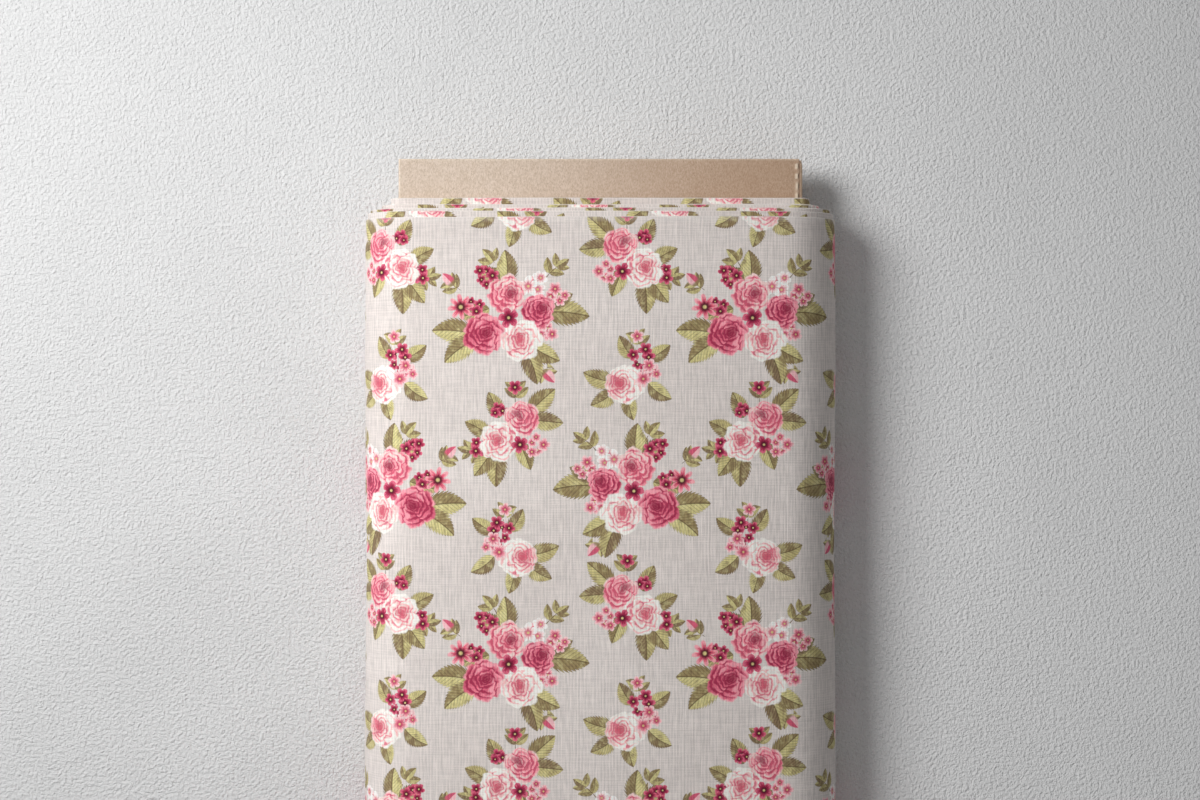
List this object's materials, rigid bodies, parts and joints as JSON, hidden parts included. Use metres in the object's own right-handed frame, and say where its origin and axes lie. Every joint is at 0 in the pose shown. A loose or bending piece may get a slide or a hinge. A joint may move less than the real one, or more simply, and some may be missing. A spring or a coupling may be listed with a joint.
{
  "type": "fabric bolt",
  "caption": "Flat-fold bolt of floral printed cotton wound on a folded corrugated cardboard board, with telescoped turns and a loose outer end.",
  "frame": {"origin": "centre of the back face that the bolt lies on, midway between the two ends of the board", "axes": "+Z out of the wide front face, +Y along the board towards the end shown in the picture, +X across the bolt to the right as seen from the front"},
  "size_m": [0.2284, 0.6, 0.0474],
  "materials": {
    "printed_cotton": "matte",
    "corrugated_board": "matte",
    "grey_card": "matte"
  },
  "bodies": {
    "wound_cloth": {"outer_turns": "printed_cotton"},
    "middle_group": {"middle_turns": "printed_cotton"},
    "inner_group": {"inner_turns": "printed_cotton"},
    "core_group": {"core_turns": "printed_cotton"},
    "board": {"board_sleeve": "corrugated_board", "spacer_channel_left": "grey_card", "spacer_channel_right": "grey_card"},
    "top_flap": {"top_end_flap": "corrugated_board"},
    "bottom_flap": {"bottom_end_flap": "corrugated_board"},
    "loose_end": {"loose_cloth_end": "printed_cotton"}
  },
  "joints": [
    {"name": "middle_slip", "type": "slide", "parent": "wound_cloth", "child": "middle_group", "axis": [0, 1, 0], "range_m": [-0.008, 0.012]},
    {"name": "inner_slip", "type": "slide", "parent": "middle_group", "child": "inner_group", "axis": [0, 1, 0], "range_m": [-0.008, 0.012]},
    {"name": "core_slip", "type": "slide", "parent": "inner_group", "child": "core_group", "axis": [0, 1, 0], "range_m": [-0.008, 0.012]},
    {"name": "board_slide", "type": "slide", "parent": "core_group", "child": "board", "axis": [0, 1, 0], "range_m": [-0.019, 0.6]},
    {"name": "top_flap_crease", "type": "hinge", "parent": "board", "child": "top_flap", "pos_m": [0, 0.3, 0.0189], "axis": [-1, 0, 0], "range_deg": [0, 120]},
    {"name": "bottom_flap_crease", "type": "hinge", "parent": "board", "child": "bottom_flap", "pos_m": [0, -0.3, 0.0189], "axis": [1, 0, 0], "range_deg": [0, 120]},
    {"name": "loose_end_turn", "type": "hinge", "parent": "wound_cloth", "child": "loose_end", "pos_m": [0.0905, 0, 0.0524], "axis": [0, 1, 0], "range_deg": [0, 165]}
  ]
}
